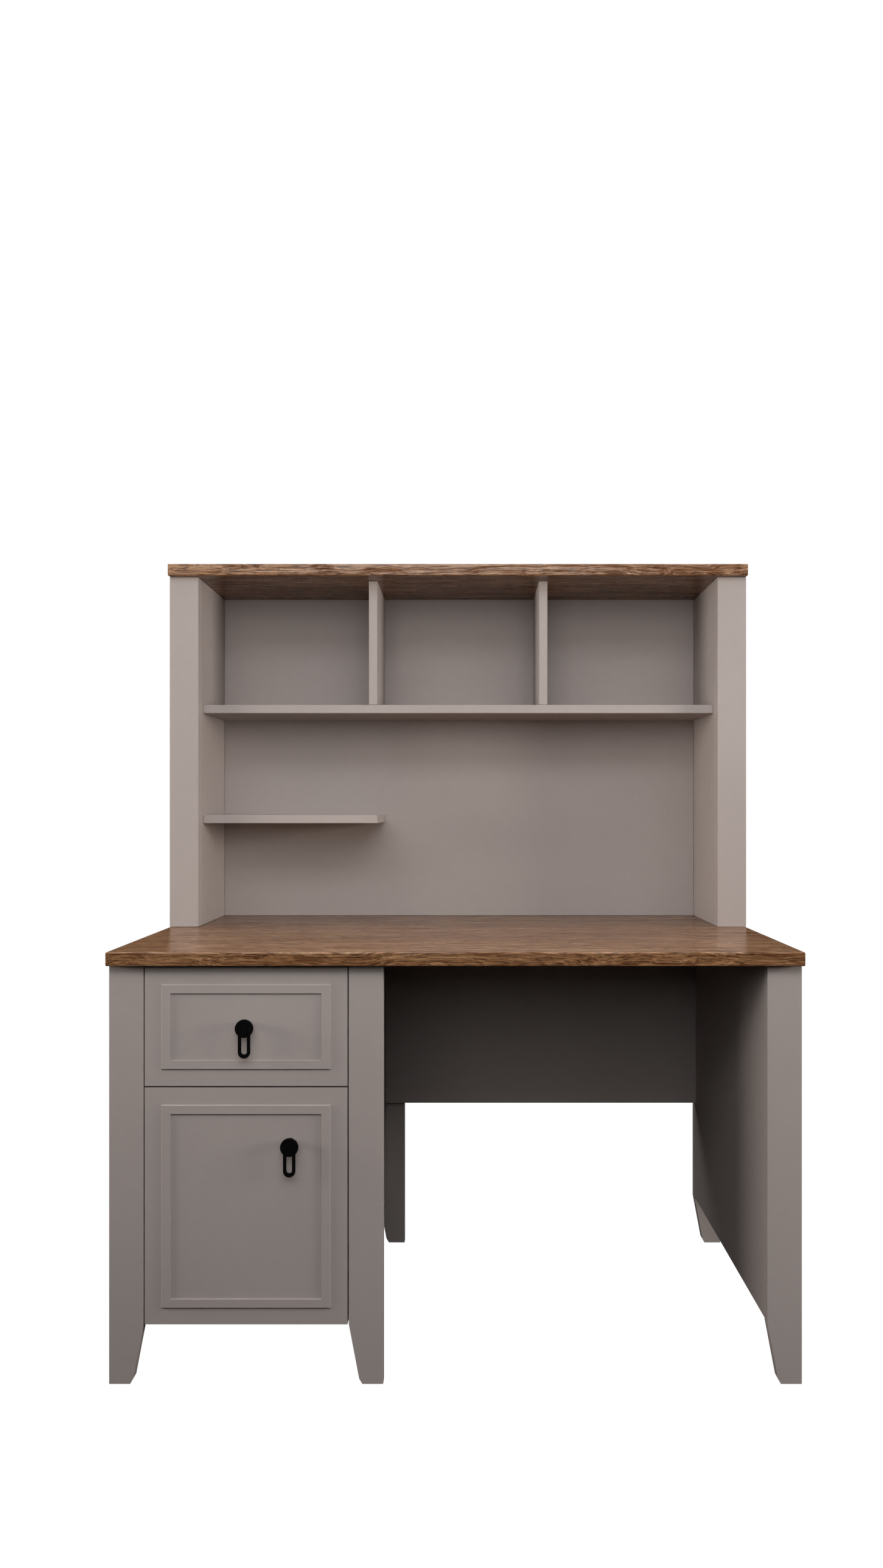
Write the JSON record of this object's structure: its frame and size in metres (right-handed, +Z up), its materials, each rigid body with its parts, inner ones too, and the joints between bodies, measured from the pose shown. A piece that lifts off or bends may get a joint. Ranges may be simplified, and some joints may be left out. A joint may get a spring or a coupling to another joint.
{
  "type": "writing desk with hutch",
  "caption": "Writing desk with a drawer-and-door pedestal, open kneehole, modesty panel and an open shelf hutch standing on the back of its wood-decor top.",
  "frame": {"origin": "on the floor, under the centre of the desk top's outline", "axes": "+X to the sitter's right, +Y to the back (wall) side, +Z up; the drawer and door face -Y"},
  "size_m": [1.2, 0.6, 1.502],
  "materials": {
    "greige_lacquer": "satin greige lacquer on board",
    "oak_decor": "matt brushed oak decor, grain along X",
    "carcass_board": "light grey melamine board",
    "zinc_steel": "bright zinc plate",
    "black_metal": "black powder coat on zinc alloy"
  },
  "bodies": {
    "carcass": {"desk_top": "oak_decor", "leg_front_left": "greige_lacquer", "leg_front_middle": "greige_lacquer", "leg_front_right": "greige_lacquer", "leg_rear_left": "greige_lacquer", "leg_rear_middle": "greige_lacquer", "leg_rear_right": "greige_lacquer", "side_panel_left": "greige_lacquer", "partition_panel": "greige_lacquer", "side_panel_right": "greige_lacquer", "modesty_panel": "greige_lacquer", "pedestal_floor": "carcass_board", "pedestal_rail": "carcass_board", "pedestal_back": "carcass_board", "stretcher_front": "carcass_board", "stretcher_rear": "carcass_board", "pedestal_shelf": "carcass_board", "shelf_pin_left_1": "zinc_steel", "shelf_pin_left_2": "zinc_steel", "shelf_pin_right_1": "zinc_steel", "shelf_pin_right_2": "zinc_steel", "runner_left_cabinet_member": "zinc_steel", "runner_right_cabinet_member": "zinc_steel", "hinge_arm_1": "zinc_steel", "hinge_arm_2": "zinc_steel", "hutch_top": "oak_decor", "hutch_post_left": "greige_lacquer", "hutch_post_right": "greige_lacquer", "hutch_side_left": "greige_lacquer", "hutch_side_right": "greige_lacquer", "hutch_back": "greige_lacquer", "hutch_shelf": "greige_lacquer", "hutch_divider_left": "greige_lacquer", "hutch_divider_right": "greige_lacquer", "hutch_half_shelf": "greige_lacquer"},
    "drawer": {"drawer_front": "greige_lacquer", "drawer_moulding": "greige_lacquer", "drawer_side_left": "carcass_board", "drawer_side_right": "carcass_board", "drawer_back": "carcass_board", "drawer_bottom": "carcass_board", "drawer_pull_rosette": "black_metal", "drawer_pull_screw": "zinc_steel", "runner_left_drawer_member": "zinc_steel", "runner_right_drawer_member": "zinc_steel"},
    "runner_left_middle": {"runner_left_middle_member": "zinc_steel"},
    "runner_right_middle": {"runner_right_middle_member": "zinc_steel"},
    "drawer_pull": {"drawer_pull_loop": "black_metal"},
    "door": {"door_panel": "greige_lacquer", "door_moulding": "greige_lacquer", "hinge_cup_1": "zinc_steel", "hinge_cup_2": "zinc_steel", "door_pull_rosette": "black_metal", "door_pull_screw": "zinc_steel"},
    "door_pull": {"door_pull_loop": "black_metal"}
  },
  "joints": [
    {"name": "drawer_slide", "type": "slide", "parent": "carcass", "child": "drawer", "axis": [0, -1, 0], "range_m": [0, 0.42]},
    {"name": "runner_left_slide", "type": "slide", "parent": "carcass", "child": "runner_left_middle", "axis": [0, -1, 0], "range_m": [0, 0.21]},
    {"name": "runner_right_slide", "type": "slide", "parent": "carcass", "child": "runner_right_middle", "axis": [0, -1, 0], "range_m": [0, 0.21]},
    {"name": "door_hinge", "type": "hinge", "parent": "carcass", "child": "door", "pos_m": [-0.532, -0.279, 0.309], "axis": [0, 0, -1], "range_deg": [0, 105]},
    {"name": "drawer_pull_swing", "type": "hinge", "parent": "drawer", "child": "drawer_pull", "pos_m": [-0.3625, -0.2965, 0.61875], "axis": [-1, 0, 0], "range_deg": [0, 90]},
    {"name": "door_pull_swing", "type": "hinge", "parent": "door", "child": "door_pull", "pos_m": [-0.285, -0.2965, 0.415], "axis": [-1, 0, 0], "range_deg": [0, 90]}
  ],
  "couplings": [
    {"joint": "runner_left_slide", "follows": "drawer_slide", "ratio": 0.5},
    {"joint": "runner_right_slide", "follows": "drawer_slide", "ratio": 0.5}
  ]
}
